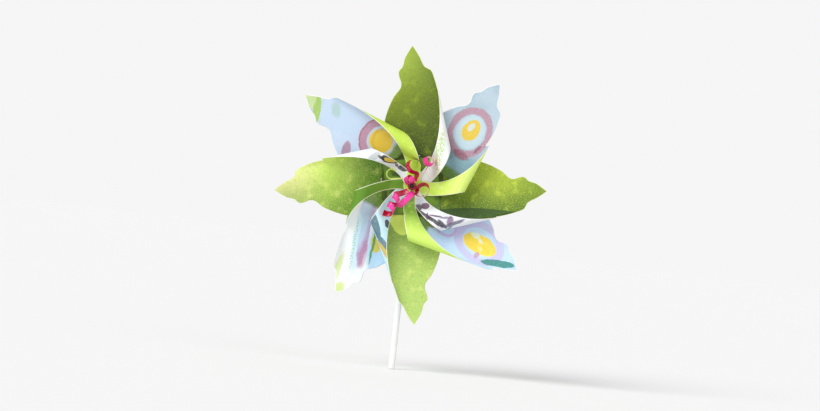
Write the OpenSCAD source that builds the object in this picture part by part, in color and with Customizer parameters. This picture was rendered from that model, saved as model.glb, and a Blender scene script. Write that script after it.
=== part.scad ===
// Paper pinwheel: two printed paper sheets, each cut into four curled vanes, turning on a pin
// that is pressed through a rolled paper stick. The wheel's axis runs along Y and faces -Y.

/* [Stick] */
// Diameter of the rolled paper stick
stick_d = 6; // [5:0.5:8]
// Length of the stick
stick_len = 197; // [180:1:320]
// Height of the pin above the foot of the stick
hub_height = 167; // [150:1:290]

/* [Pin and beads] */
// Diameter of the pin's shaft
pin_d = 1.6; // [1.2:0.1:2]
// Diameter of the pin's round head
head_d = 4.6; // [4:0.2:6]
// Diameter of the spacer bead between stick and wheel
bead_d = 8; // [6:0.5:10]
// Length of the spacer bead
bead_len = 6; // [4:0.5:9]
// Diameter of the cap on the pin's point behind the stick
cap_d = 6; // [5:0.5:8]
// Radial running clearance of what turns on the pin
run_gap = 0.06; // [0.02:0.01:0.1]
// End play between the pieces that turn on the pin
end_gap = 0.4; // [0.2:0.1:0.8]

/* [Paper] */
// Thickness of the sheets
paper_t = 0.3; // [0.2:0.05:0.4]
// Radius of the hole that each sheet has for the pin
hole_r = 1.4; // [1.2:0.1:1.8]
// Length of a vane from the pin to its tip
vane_len = 125; // [120:1:130]
// Distance from the pin to the cut that frees each tongue
cut_s = 28; // [27:0.5:29]
// Half the width of the tongue where it is pinned
tongue_w = 6; // [5:0.25:6.5]

/* [Curl] */
// Arc length along the paper at which a vane starts to lift
lift_at = 10; // [9:0.5:11]
// Angle at which the lifted part of a vane rises
lift_angle = 14; // [13:0.5:15]
// Distance from the pin over which a tongue lies flat
land_len = 17; // [16:0.5:18]
// Height between one pinned tongue and the next
stack_step = 0.45; // [0.42:0.01:0.5]

/* [Ribbon] */
// Width of the curled ribbons
ribbon_w = 5.5; // [4.5:0.25:5.75]
// Thickness of the curled ribbons
ribbon_t = 0.25; // [0.2:0.05:0.3]

/* [Hidden] */
$fn = 48;

lift_r = 15;
land_r = 6;
rear_z = stick_d / 2 + bead_len + 2 * end_gap;
front_gap = 2 * paper_t;
land_rise = 1.1;
stack_front = rear_z + front_gap + land_rise + 7 * stack_step + paper_t / 2;
washer_len = 2;
knot_r = 1.7;
knot_ring_r = pin_d / 2 + 0.1 + knot_r;
knot_y = stack_front + 0.2 + washer_len + knot_r;
head_y = knot_y + knot_r + end_gap + head_d / 2;
cap_y = stick_d / 2 + cap_d / 2;
side_cols = 5;
tip_over = 6.5;
neck_cols = 4;
leaf_cols = 10;
body_rows = 6;
tip_rows = 12;

// Vanes of a sheet: [axis angle, ruling angle from the axis, reach of the fold, fold radius, tip length
// factor, place in the pinned stack, where the free edge leaves the leaf, far side of the pinned end,
// how far the cut runs outwards by the time it meets the fold]
green_vanes = [
    [96.1, 12.5, 41, 7.4, 1.02, 0, 88, 8, 5],
    [3.9, 16, 45.5, 7, 0.98, 2, 78, 5, 0],
    [-83, 19, 46, 6.6, 1.01, 4, 90, 5, 5],
    [-172, 10, 40.5, 7.4, 1, 6, 80, 6, 8]
];
print_vanes = [
    [55.4, 13, 44.5, 7, 0.98, 1, 72, 8, 0],
    [-32.6, 19, 47.5, 6.6, 0.98, 3, 82, 5, 2],
    [-119.5, 19, 47.5, 6.6, 0.95, 5, 62, 5, 7],
    [145.8, 13, 39.5, 7.6, 1.02, 7, 84, 8, 7]
];

// Outline of a vane: [distance along its axis, width to that side]
green_left = [[28, 28], [45, 26.5], [58, 25.5], [66, 23.5], [74, 20.5], [82, 16.5], [88, 11.6],
    [93, 10.6], [98, 12.4], [103, 12.6], [107, 9.3], [114, 7.2], [119, 4.2], [125, 0]];
print_left = [[28, 7], [34, 10], [44, 18], [52, 23.5], [58, 25.5], [66, 23.5], [74, 20.5], [82, 16.5],
    [88, 11.6], [93, 10.6], [98, 12.4], [103, 12.6], [107, 9.3], [114, 7.2], [119, 4.2], [125, 0]];
leaf_right = [[28, 27], [60, 28], [80, 27], [89, 25.4], [98, 21.5], [104, 17.8], [107, 11.6],
    [115, 7], [121, 3], [125, 0]];

// Smooth value through the pairs of a table, by Catmull-Rom between the two pairs around s
function spot(t, s, i = 0) = i >= len(t) - 2 || s < t[i + 1][0] ? i : spot(t, s, i + 1);
function slope(t, i) =
    let(a = max(i - 1, 0), b = min(i + 1, len(t) - 1)) (t[b][1] - t[a][1]) / (t[b][0] - t[a][0]);
function smooth(t, s) =
    let(i = spot(t, s), d = t[i + 1][0] - t[i][0], u = (s - t[i][0]) / d, m0 = slope(t, i) * d,
        m1 = slope(t, i + 1) * d)
    (2 * u ^ 3 - 3 * u ^ 2 + 1) * t[i][1] + (u ^ 3 - 2 * u ^ 2 + u) * m0
        + (3 * u ^ 2 - 2 * u ^ 3) * t[i + 1][1] + (u ^ 3 - u ^ 2) * m1;

// A fold's section, as lengths along the paper and the centres of its two bends:
// flat, lift bend, rise, fold, return, landing bend, flat
function arc_len(r, deg) = r * deg * PI / 180;
function fold(reach, r, z_land) =
    let(
        x1 = lift_at + lift_r * sin(lift_angle),
        z1 = lift_r * (1 - cos(lift_angle)),
        cx = reach - r,
        rise = (cx + r * sin(lift_angle) - x1) / cos(lift_angle),
        cz = z1 + rise * sin(lift_angle) + r * cos(lift_angle),
        dx = land_len - cx,
        dz = z_land + land_r - cz,
        d = norm([dx, dz]),
        turn = atan2(dz, dx) + asin((r + land_r) / d) + (atan2(dz, dx) < 0 ? 360 : 0),
        p1 = lift_at + arc_len(lift_r, lift_angle),
        p2 = p1 + rise,
        p3 = p2 + arc_len(r, turn - lift_angle),
        p4 = p3 + sqrt(d * d - (r + land_r) ^ 2),
        p5 = p4 + arc_len(land_r, turn - 180)
    )
    [[p1, p2, p3, p4, p5, p5 + land_len], [cx, cz], r, turn, z_land, [x1, z1]];
// [x, height, direction] of the section at a length p along the paper
function section(f, p) =
    let(b = f[0], c = f[1], r = f[2], turn = f[3], z = f[4], s = f[5])
    p < lift_at ? [p, 0, 0]
    : p < b[0] ? let(a = (p - lift_at) / lift_r * 180 / PI)
        [lift_at + lift_r * sin(a), lift_r * (1 - cos(a)), a]
    : p < b[1] ? [s[0] + (p - b[0]) * cos(lift_angle), s[1] + (p - b[0]) * sin(lift_angle), lift_angle]
    : p < b[2] ? let(a = lift_angle + (p - b[1]) / r * 180 / PI) [c[0] + r * sin(a), c[1] - r * cos(a), a]
    : p < b[3] ? [c[0] + r * sin(turn) + (p - b[2]) * cos(turn),
        c[1] - r * cos(turn) + (p - b[2]) * sin(turn), turn]
    : p < b[4] ? let(a = turn - (p - b[3]) / land_r * 180 / PI)
        [land_len - land_r * sin(a), z + land_r + land_r * cos(a), a]
    : [land_len - (p - b[4]), z, 180];

// A point of the flat pattern in lengths across and along the fold; h is its height above mid paper
function bent(v, f, base, at, h) =
    let(e = v[0] + v[1], c = section(f, at[0]), x = c[0] - h * sin(c[2]), z = c[1] + h * cos(c[2]))
    [at[1] * cos(e) + x * sin(e), -(base + z), hub_height + at[1] * sin(e) - x * cos(e)];
// The same point from s along the vane's axis and r clockwise of it
function turned(v, s, r) = [s * sin(v[1]) + r * cos(v[1]), s * cos(v[1]) - r * sin(v[1])];
function blend(a, b, u) = a + (b - a) * u;

// Flat pattern of one vane: rows of the leaf, its tip, then columns of the tongue
function leaf_row(v, left, right, s) =
    [for (j = [0:leaf_cols]) turned(v, s, blend(-left, right, j / leaf_cols))];
function stretched(v, s) = v[6] + (s - v[6]) * ((vane_len * v[4] - v[6]) / (vane_len - v[6]));
function body_s(v, i) = blend(cut_s, v[6], i / body_rows);
function brow_p(f, r) = f[0][1] + arc_len(r, 90 - lift_angle);
// Sides of the tongue where its section has come round to x: cut side and free side
function near_q(v, brow, x) = let(top = v[8] + (cut_s - brow * sin(v[1])) / cos(v[1]))
    -tongue_w + (top + tongue_w) * pow(max(x, 0) / v[2], 1.6);
function far_q(v, x) = let(start = turned(v, v[6], smooth(leaf_right, v[6]))[1] + 1)
    v[7] + (start - v[7]) / 0.9 * (1 - sqrt(1 - pow(0.995 * max(x, 0) / v[2], 2)));
function tongue_col(v, f, p) =
    let(x = section(f, p)[0], brow = brow_p(f, v[3]), a = near_q(v, brow, x), b = far_q(v, x),
        k = x < 0 ? sqrt(max(1 - pow(x / (tip_over + 0.3), 2), 0)) : 1)
    [for (i = [0:body_rows]) [p, (a + b) / 2 + (b - a) * k * (i / body_rows - 0.5)]];
function steps(a, b, n) = [for (i = [1:n]) blend(a, b, i / n)];
function pattern(v, f, left) =
    let(brow = brow_p(f, v[3]), b = f[0], first = tongue_col(v, f, brow))
    concat(
        [for (i = [0:body_rows], p = let(s = body_s(v, i))
            leaf_row(v, smooth(left, s), smooth(leaf_right, s), s)) p],
        [for (i = [1:tip_rows - 1], p = let(s = blend(v[6], vane_len, i / tip_rows))
            leaf_row(v, smooth(left, s), smooth(leaf_right, s), stretched(v, s))) p],
        [turned(v, vane_len * v[4], 0)],
        [for (j = [1:side_cols], i = [0:body_rows]) let(s = body_s(v, i))
            blend(turned(v, s, smooth(leaf_right, s)), first[i], j / side_cols)],
        [for (p = concat(steps(brow, b[2], 7), steps(b[2], b[3], 3), steps(b[3], b[4], 3),
            steps(b[4], b[5], 3), steps(b[5], b[5] + tip_over, 3)), q = tongue_col(v, f, p)) q]
    );
n_rows = body_rows + tip_rows;
tip_at = n_rows * (leaf_cols + 1);
n_cols = side_cols + 19;
vane_size = tip_at + 1 + n_cols * (body_rows + 1);
function leaf_at(i, j) = i == n_rows ? tip_at : i * (leaf_cols + 1) + j;
function tongue_at(i, j) = j == 0 ? leaf_at(i, leaf_cols) : tip_at + 1 + (j - 1) * (body_rows + 1) + i;

// Triangles of one vane seen from the front, and its edge from the left of the neck round to the right
function halves(a, b, c, d) = [[a, b, c], [a, c, d]];
vane_faces = concat(
    [for (i = [0:n_rows - 2], j = [0:leaf_cols - 1],
        t = halves(leaf_at(i, j), leaf_at(i + 1, j), leaf_at(i + 1, j + 1), leaf_at(i, j + 1))) t],
    [for (j = [0:leaf_cols - 1]) [leaf_at(n_rows - 1, j), tip_at, leaf_at(n_rows - 1, j + 1)]],
    [for (i = [0:body_rows - 1], j = [0:n_cols - 1],
        t = halves(tongue_at(i, j), tongue_at(i + 1, j), tongue_at(i + 1, j + 1), tongue_at(i, j + 1))) t]);
vane_edge = concat(
    [for (i = [0:n_rows]) leaf_at(i, 0)],
    [for (i = [n_rows - 1:-1:body_rows]) leaf_at(i, leaf_cols)],
    [for (j = [1:n_cols]) tongue_at(body_rows, j)],
    [for (i = [body_rows - 1:-1:0]) tongue_at(i, n_cols)],
    [for (j = [n_cols - 1:-1:0]) tongue_at(0, j)],
    [for (j = [leaf_cols - 1:-1:neck_cols]) leaf_at(0, j)]);

// One sheet: four vanes joined by a flat hub, closed by its own thickness
module sheet(vanes, left, base) {
    folds = [for (v = vanes) fold(v[2], v[3], front_gap + land_rise - base + rear_z + stack_step * v[5])];
    flats = [for (k = [0:3]) pattern(vanes[k], folds[k], left)];
    function side(h) = concat(
        [for (k = [0:3], p = flats[k]) bent(vanes[k], folds[k], base, p, h)],
        [[0, -(base + h), hub_height]]);
    centre = 4 * vane_size;
    count = centre + 1;
    rim = [for (k = [0:3], j = [0:neck_cols]) k * vane_size + leaf_at(0, j)];
    front = concat(
        [for (k = [0:3], t = vane_faces) [for (i = t) i + k * vane_size]],
        [for (i = [0:len(rim) - 1]) [centre, rim[i], rim[(i + 1) % len(rim)]]]);
    edge = [for (k = [0:3], i = vane_edge) i + k * vane_size];
    walls = [for (i = [0:len(edge) - 1], t = let(a = edge[i], b = edge[(i + 1) % len(edge)])
        halves(b, a, a + count, b + count)) t];
    difference() {
        polyhedron(
            points = concat(side(paper_t / 2), side(-paper_t / 2)),
            faces = concat(front, [for (t = front) [t[2] + count, t[1] + count, t[0] + count]], walls),
            convexity = 12);
        along_pin(rear_z - 1, 40) circle(hole_r);
    }
}

// Extrudes its children from y = -near towards the front by len, about the pin's axis
module along_pin(near, len) {
    translate([0, -near, hub_height]) rotate([90, 0, 0]) linear_extrude(len) children();
}

// Curled ribbons: [start, centre of the first turn, axis, radius, first angle, turns, advance in a turn,
// share of the length that leads out of the knot], with points as [right, forward, up] from the pin,
// where the front of the stick is
ribbon_steps = 48;
curl_growth = 0.16;
top_ring = [[2.3, 18.7, 4.3], [-1, 21.8, 17.4], [0.5, 1, 0.42], 6.2, 328, 1.15, 1.6, 0.32];
ringlet = [[3.9, 19, 4.8], [11.5, 24.5, 23.2], [0.5, 0.8, 0.45], 4.6, 96, -1.3, 3.2, 0.32];
thin_loop = [[-3, 18.5, 3.7], [-19.6, 19.6, 8.4], [0.1, 1, 0.15], 5, 320, 1, 0.4, 0.32];
left_loop = [[-3.6, 20.8, 1.6], [-5.4, 27.6, 3.4], [0.72, 0.35, 0.6], 4.1, 72, 1.35, 5.2, 0.32];
right_ring = [[5.1, 20, -1.8], [10.4, 21.6, -3.6], [-0.42, 1, 0.45], 6.8, 16, 1.35, 1.6, 0.32];
tail_strip = [[2, 19.4, -5.3], [-1.5, 18.9, -12.1], [0.92, -0.07, -0.3], 10.7, 227, -0.33, -21, 0.32];
corkscrew = [[-2.9, 20.8, -4.4], [-11.4, 24.6, -8.6], [-0.37, 0.42, -0.9], 4.1, 88, 2.3, 9.8, 0.16];

// A point of a ribbon's centre line at t from 0 to 1: out of the knot, then winding with a growing radius
function unit(v) = v / norm(v);
function winding(w, t) =
    let(w_ax = unit(w[2]), side = unit(cross(w_ax, [0, 0.2, 1])), other = cross(w_ax, side),
        a = w[4] + 360 * w[5] * t, u = min(t / w[7], 1), k = u * u * (3 - 2 * u),
        r = w[3] * (1 - curl_growth * (1 - t)))
    (1 - k) * w[0] + k * (w[1] + w_ax * w[6] * abs(w[5]) * t + r * (side * cos(a) + other * sin(a)));

// Corners of a ribbon's section at t: width along the winding's axis, squared to the centre line
function ribbon_ring(w, width, t) =
    let(dt = 0.002, c = winding(w, t), tan = unit(winding(w, min(t + dt, 1)) - winding(w, max(t - dt, 0))),
        w_ax = unit(w[2]), across = unit(w_ax - tan * (w_ax * tan)), out = cross(tan, across))
    [for (k = [[1, 1], [-1, 1], [-1, -1], [1, -1]])
        c + across * k[0] * width / 2 + out * k[1] * ribbon_t / 2];

module ribbon(w, width) {
    rings = [for (i = [0:ribbon_steps], p = ribbon_ring(w, width, i / ribbon_steps))
        [p[0], -p[1], p[2] + hub_height]];
    last = 4 * ribbon_steps;
    polyhedron(
        points = rings,
        faces = concat(
            [[2, 1, 0], [3, 2, 0], [last, last + 1, last + 2], [last, last + 2, last + 3]],
            [for (i = [0:ribbon_steps - 1], k = [0:3], t = halves(4 * i + k, 4 * i + (k + 1) % 4,
                4 * i + 4 + (k + 1) % 4, 4 * i + 4 + k)) t]),
        convexity = 8);
}

module stick() {
    color("white") difference() {
        cylinder(d = stick_d, h = stick_len);
        along_pin(-stick_d, 2 * stick_d) circle(d = pin_d);
    }
}

module pin_shaft() {
    color("silver") along_pin(-cap_y, cap_y + head_y) circle(d = pin_d);
}

// A ball of the diameter d on an end of the shaft, blind bored from the side that faces the wheel
module pin_ball(near, d, bore_from) {
    difference() {
        translate([0, -near, hub_height]) sphere(d = d);
        along_pin(bore_from, d) circle(d = pin_d);
    }
}

module pin_head() {
    color("black") pin_ball(head_y, head_d, head_y - head_d);
}

module pin_cap() {
    color("white") pin_ball(-cap_y, cap_d, -cap_y);
}

module bead(near, len, d) {
    along_pin(near, len) difference() {
        circle(d = d);
        circle(d = pin_d + 2 * run_gap);
    }
}

module spacer_bead() {
    color("hotpink") bead(stick_d / 2 + end_gap, bead_len, bead_d);
}

module green_sheet() {
    color("yellowgreen") sheet(green_vanes, green_left, rear_z);
}

module print_sheet() {
    color("lightblue") sheet(print_vanes, print_left, rear_z + front_gap);
}

module front_bead() {
    color("crimson") bead(stack_front + 0.1, washer_len, head_d);
}

module ribbon_knot() {
    color("crimson") translate([0, -knot_y, hub_height]) rotate([90, 0, 0])
        rotate_extrude() translate([knot_ring_r, 0]) circle(knot_r);
}

module ribbon_top_ring() {
    color("crimson") ribbon(top_ring, ribbon_w);
}

module ribbon_ringlet() {
    color("hotpink") ribbon(ringlet, ribbon_w);
}

module ribbon_thin_loop() {
    color("yellowgreen") ribbon(thin_loop, ribbon_w / 3);
}

module ribbon_left_loop() {
    color("hotpink") ribbon(left_loop, ribbon_w * 0.8);
}

module ribbon_right_ring() {
    color("crimson") ribbon(right_ring, ribbon_w * 0.8);
}

module ribbon_tail() {
    color("crimson") ribbon(tail_strip, ribbon_w);
}

module ribbon_corkscrew() {
    color("hotpink") ribbon(corkscrew, ribbon_w);
}

stick();
pin_shaft();
pin_head();
pin_cap();
spacer_bead();
green_sheet();
print_sheet();
front_bead();
ribbon_knot();
ribbon_top_ring();
ribbon_ringlet();
ribbon_thin_loop();
ribbon_left_loop();
ribbon_right_ring();
ribbon_tail();
ribbon_corkscrew();
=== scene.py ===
"""Paper pinwheel: two curled paper sheets on a pin through a rolled paper stick, with ribbons at the hub."""

import logging
import math
from dataclasses import dataclass
from enum import Enum

import bpy
import numpy as np
from mathutils import Matrix, Vector


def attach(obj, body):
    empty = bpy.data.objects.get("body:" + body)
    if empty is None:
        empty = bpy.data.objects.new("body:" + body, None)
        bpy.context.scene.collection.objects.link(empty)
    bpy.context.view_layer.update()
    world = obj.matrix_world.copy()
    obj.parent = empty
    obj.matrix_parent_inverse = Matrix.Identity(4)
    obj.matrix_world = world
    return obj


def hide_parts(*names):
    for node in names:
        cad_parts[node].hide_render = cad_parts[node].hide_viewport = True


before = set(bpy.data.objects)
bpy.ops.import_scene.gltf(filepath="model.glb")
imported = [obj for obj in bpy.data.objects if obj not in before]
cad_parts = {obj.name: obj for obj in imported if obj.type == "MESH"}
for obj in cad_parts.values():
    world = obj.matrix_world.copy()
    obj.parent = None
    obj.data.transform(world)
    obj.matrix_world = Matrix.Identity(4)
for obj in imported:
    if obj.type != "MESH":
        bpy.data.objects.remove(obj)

log = logging.getLogger("pinwheel")
MM = 0.001
HUB_HEIGHT = 167.0
BEAD_BORE = 0.86
Socket = bpy.types.NodeSocket
Rgb = tuple[float, float, float]


# ---------------------------------------------------------------- curves and meshes


def smooth(table: np.ndarray, at: np.ndarray) -> np.ndarray:
    """Catmull-Rom value through the rows of a table.

    On each span the value is the cubic Hermite blend of the two ends, with slopes taken across
    the neighbouring rows.

    Args:
        table: Rows of [place, value] with rising places.
        at: Places to read the table at.

    Returns:
        The smooth values at those places.
    """
    x, y = table.T
    last = len(x) - 1
    i = np.clip(np.searchsorted(x, at, side="right") - 1, 0, last - 1)
    before, after = np.maximum(np.arange(len(x)) - 1, 0), np.minimum(np.arange(len(x)) + 1, last)
    slope = (y[after] - y[before]) / (x[after] - x[before])
    span = x[i + 1] - x[i]
    u = (at - x[i]) / span
    return (
        (2 * u**3 - 3 * u**2 + 1) * y[i]
        + (u**3 - 2 * u**2 + u) * slope[i] * span
        + (3 * u**2 - 2 * u**3) * y[i + 1]
        + (u**3 - u**2) * slope[i + 1] * span
    )


def grid_quads(index: np.ndarray) -> np.ndarray:
    """Quads between neighbouring entries of a 2-D array of vertex numbers, wound row by column.

    Args:
        index: Vertex numbers laid out on the surface.

    Returns:
        An array of quads, four vertex numbers each.
    """
    a, b, c, d = index[:-1, :-1], index[:-1, 1:], index[1:, 1:], index[1:, :-1]
    return np.stack([a, b, c, d], -1).reshape(-1, 4)


def new_piece(
    name: str,
    points: np.ndarray,
    faces: list[np.ndarray],
    slots: list[int],
    materials: list[bpy.types.Material],
    shaded: bool = True,
) -> bpy.types.Object:
    """Makes a mesh object at the origin from points in millimetres.

    Args:
        name: The object's name.
        points: Vertex places, n by 3, in millimetres in the row frame.
        faces: Arrays of quads or triangles.
        slots: The material slot of each array of faces.
        materials: The materials, in slot order.
        shaded: Whether faces are shaded smooth.

    Returns:
        The new object, linked to the scene.
    """
    mesh = bpy.data.meshes.new(name)
    mesh.from_pydata((points * MM).tolist(), [], [f for block in faces for f in block.tolist()])
    index = np.concatenate([np.full(len(block), s, np.int32) for block, s in zip(faces, slots)])
    mesh.polygons.foreach_set("material_index", index)
    mesh.polygons.foreach_set("use_smooth", np.full(len(index), shaded))
    for material in materials:
        mesh.materials.append(material)
    mesh.update()
    piece = bpy.data.objects.new(name, mesh)
    bpy.context.scene.collection.objects.link(piece)
    return piece


def store(piece: bpy.types.Object, name: str, values: np.ndarray) -> None:
    """Stores a number or a vector per vertex on a piece's mesh.

    Args:
        piece: The object.
        name: The attribute's name.
        values: One number, or three, for each vertex.
    """
    kind, field_name = ("FLOAT", "value") if values.ndim == 1 else ("FLOAT_VECTOR", "vector")
    layer = piece.data.attributes.new(name, kind, "POINT")
    layer.data.foreach_set(field_name, np.ascontiguousarray(values, np.float32).ravel())


# ---------------------------------------------------------------- finishes


def linear(rgb: Rgb) -> tuple[float, float, float, float]:
    """Turns a colour as the eye reads it, 0 to 255, into a linear one with alpha 1."""
    c = np.array(rgb) / 255
    lin = np.where(c <= 0.04045, c / 12.92, ((c + 0.055) / 1.055) ** 2.4)
    return (float(lin[0]), float(lin[1]), float(lin[2]), 1.0)


class Where(Enum):
    """What a finish's pattern follows."""

    FLAT_PATTERN = "flat"
    OBJECT = "object"


class Painter:
    """Lays washes of colour over one another in a material's nodes.

    Places are in millimetres on the sheet's flat pattern, or in metres on the object. Every wash
    is a mask from 0 to 1 that mixes its colour over what lies below.
    """

    def __init__(self, name: str, ground: Rgb, where: Where, rough: float = 0.62) -> None:
        """Starts a material with a ground colour.

        Args:
            name: The material's name.
            ground: Colour of the bare paper, 0 to 255.
            where: What the pattern follows.
            rough: The surface's roughness.
        """
        self.material = bpy.data.materials.new(name)
        self.material.use_nodes = True
        self.nodes = self.material.node_tree.nodes
        self.links = self.material.node_tree.links
        self.nodes.clear()
        self.out = self.nodes.new("ShaderNodeOutputMaterial")
        self.shader = self.nodes.new("ShaderNodeBsdfPrincipled")
        self.shader.inputs["Roughness"].default_value = rough
        self.links.new(self.shader.outputs[0], self.out.inputs[0])
        if where is Where.FLAT_PATTERN:
            source = self.nodes.new("ShaderNodeAttribute")
            source.attribute_name = "flat"
            self.coords = source.outputs["Vector"]
        else:
            self.coords = self.nodes.new("ShaderNodeTexCoord").outputs["Object"]
        self.bled = self.coords
        self.colour = None
        self.ground = ground

    def math(
        self,
        operation: str,
        a: Socket | float,
        b: Socket | float | None = None,
        c: Socket | float | None = None,
        clamp: bool = False,
    ) -> Socket:
        """Adds a Math node.

        Args:
            operation: The node's operation.
            a: A socket or a number.
            b: A socket or a number, if the operation takes two.
            c: A socket or a number, if the operation takes three.
            clamp: Whether the result is held between 0 and 1.

        Returns:
            The node's output socket.
        """
        node = self.nodes.new("ShaderNodeMath")
        node.operation = operation
        node.use_clamp = clamp
        for i, value in enumerate((a, b, c)):
            if value is None:
                continue
            if isinstance(value, (int, float)):
                node.inputs[i].default_value = value
            else:
                self.links.new(value, node.inputs[i])
        return node.outputs[0]

    def noise(self, scale: float, detail: float = 2.0, rough: float = 0.5, colour: bool = False) -> Socket:
        """Adds a noise over the pattern.

        Args:
            scale: Waves for each unit of the pattern.
            detail: Octaves of finer noise.
            rough: Strength of each octave against the last.
            colour: Whether to return the coloured output.

        Returns:
            The noise's output socket.
        """
        node = self.nodes.new("ShaderNodeTexNoise")
        node.inputs["Scale"].default_value = scale
        node.inputs["Detail"].default_value = detail
        node.inputs["Roughness"].default_value = rough
        self.links.new(self.coords, node.inputs["Vector"])
        return node.outputs["Color" if colour else "Fac"]

    def ramp(self, value: Socket, low: float, high: float) -> Socket:
        """Maps a value smoothly to a mask.

        Args:
            value: The socket to read.
            low: Where the mask is 0.
            high: Where the mask is 1.

        Returns:
            The mask's socket.
        """
        node = self.nodes.new("ShaderNodeMapRange")
        node.interpolation_type = "SMOOTHSTEP"
        node.inputs["From Min"].default_value = low
        node.inputs["From Max"].default_value = high
        self.links.new(value, node.inputs["Value"])
        return node.outputs["Result"]

    def bleed(self, scale: float, reach: float) -> None:
        """Lets later shapes wander, as wet paint does.

        Args:
            scale: Waves of wandering for each unit of the pattern.
            reach: How far an edge wanders.
        """
        noise = self.noise(scale, 3.0, 0.55, colour=True)
        centre = self.nodes.new("ShaderNodeVectorMath")
        centre.operation = "SUBTRACT"
        centre.inputs[1].default_value = (0.5, 0.5, 0.5)
        self.links.new(noise, centre.inputs[0])
        far = self.nodes.new("ShaderNodeVectorMath")
        far.operation = "SCALE"
        far.inputs["Scale"].default_value = 2 * reach
        self.links.new(centre.outputs[0], far.inputs[0])
        moved = self.nodes.new("ShaderNodeVectorMath")
        moved.operation = "ADD"
        self.links.new(self.coords, moved.inputs[0])
        self.links.new(far.outputs[0], moved.inputs[1])
        self.bled = moved.outputs[0]

    def local(self, centre: tuple[float, float], turn: float, size: tuple[float, float]) -> Socket:
        """Coordinates in which an oval is a unit circle.

        Args:
            centre: The oval's place on the flat pattern, [across, along].
            turn: Its turn anticlockwise, in degrees.
            size: Its half widths.

        Returns:
            The coordinates' socket.
        """
        node = self.nodes.new("ShaderNodeMapping")
        node.vector_type = "TEXTURE"
        node.inputs["Location"].default_value = (centre[0], centre[1], 0)
        node.inputs["Rotation"].default_value = (0, 0, math.radians(turn))
        node.inputs["Scale"].default_value = (size[0], size[1], 1e6)
        self.links.new(self.bled, node.inputs["Vector"])
        return node.outputs[0]

    def wash(self, mask: Socket, colour: Rgb, strength: float = 1.0) -> None:
        """Mixes a colour over what is below.

        Args:
            mask: Socket that is 1 where the wash is full.
            colour: The wash's colour, 0 to 255.
            strength: How far a full wash covers.
        """
        node = self.nodes.new("ShaderNodeMix")
        node.data_type = "RGBA"
        if self.colour is None:
            node.inputs[6].default_value = linear(self.ground)
        else:
            self.links.new(self.colour, node.inputs[6])
        node.inputs[7].default_value = linear(colour)
        self.links.new(mask if strength == 1.0 else self.math("MULTIPLY", mask, strength), node.inputs[0])
        self.colour = node.outputs[2]

    def blob(
        self,
        centre: tuple[float, float],
        size: tuple[float, float],
        colour: Rgb,
        turn: float = 0,
        soft: float = 0.18,
        strength: float = 0.92,
    ) -> None:
        """A filled oval: the mask falls from 1 to 0 where the distance in its own circle passes 1.

        Args:
            centre: Place on the flat pattern, [across, along].
            size: Half widths.
            colour: The wash's colour.
            turn: Turn anticlockwise, in degrees.
            soft: Share of the radius over which the edge fades.
            strength: How far it covers.
        """
        length = self.nodes.new("ShaderNodeVectorMath")
        length.operation = "LENGTH"
        self.links.new(self.local(centre, turn, size), length.inputs[0])
        self.wash(self.ramp(length.outputs["Value"], 1 + soft / 2, 1 - soft / 2), colour, strength)

    def ring(
        self,
        centre: tuple[float, float],
        size: tuple[float, float],
        width: float,
        colour: Rgb,
        turn: float = 0,
        strength: float = 0.85,
    ) -> None:
        """A closed stroke round an oval: the mask is 1 where the distance in its own circle is near 1.

        Args:
            centre: Place on the flat pattern, [across, along].
            size: Half widths of the stroke's middle line.
            width: Half the stroke's width as a share of the radius.
            colour: The wash's colour.
            turn: Turn anticlockwise, in degrees.
            strength: How far it covers.
        """
        length = self.nodes.new("ShaderNodeVectorMath")
        length.operation = "LENGTH"
        self.links.new(self.local(centre, turn, size), length.inputs[0])
        off = self.math("ABSOLUTE", self.math("SUBTRACT", length.outputs["Value"], 1.0))
        self.wash(self.ramp(off, width * 1.15, width * 0.75), colour, strength)

    def speckle(
        self, scale: float, amount: float, colour: Rgb, strength: float, mask: Socket | None = None
    ) -> None:
        """Small spots where a fine noise passes a level.

        Args:
            scale: Waves for each unit of the pattern.
            amount: The noise's level for a spot, lower for more.
            colour: The spots' colour.
            strength: How far they cover.
            mask: Socket that limits where they lie.
        """
        spots = self.ramp(self.noise(scale, 2.0, 0.6), amount, amount + 0.12)
        self.wash(spots if mask is None else self.math("MULTIPLY", spots, mask), colour, strength)

    def cream_edge(self, width: float, colour: Rgb) -> None:
        """Bare paper along the cut edges, where the stored distance to the edge is small.

        Args:
            width: How wide it shows.
            colour: Colour of the bare paper, 0 to 255.
        """
        edge = self.nodes.new("ShaderNodeAttribute")
        edge.attribute_name = "to_edge"
        place = self.nodes.new("ShaderNodeSeparateXYZ")
        self.links.new(self.coords, place.inputs[0])
        # by the hub no bare edge is drawn, so the painted shade there stays whole
        past_hub, past_fold = self.ramp(place.outputs["Y"], 33, 38), self.ramp(place.outputs["X"], 38, 44)
        away = self.math("MAXIMUM", past_hub, past_fold)
        bare = self.ramp(edge.outputs["Fac"], width * 1.3, width * 0.6)
        self.wash(self.math("MULTIPLY", bare, away), colour, 0.9)

    def grain(self, scale: float, height: float) -> None:
        """Adds a fine bump of paper tooth.

        Args:
            scale: Waves for each unit of the pattern.
            height: The tooth's height in metres.
        """
        bump = self.nodes.new("ShaderNodeBump")
        bump.inputs["Distance"].default_value = height
        bump.inputs["Strength"].default_value = 0.5
        self.links.new(self.noise(scale, 3.0, 0.6), bump.inputs["Height"])
        self.links.new(bump.outputs[0], self.shader.inputs["Normal"])

    def done(self) -> bpy.types.Material:
        """Puts the last colour on the shader and returns the material."""
        if self.colour is None:
            self.shader.inputs["Base Color"].default_value = linear(self.ground)
        else:
            self.links.new(self.colour, self.shader.inputs["Base Color"])
        return self.material


@dataclass(frozen=True)
class ShadeOrLightPatch:
    """An oval patch of painted shade or light on a vane: its centre and half widths across and along, in
    millimetres.
    """

    centre: tuple[float, float]
    size: tuple[float, float]
    colour: Rgb
    turn: float
    soft: float
    strength: float


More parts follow.
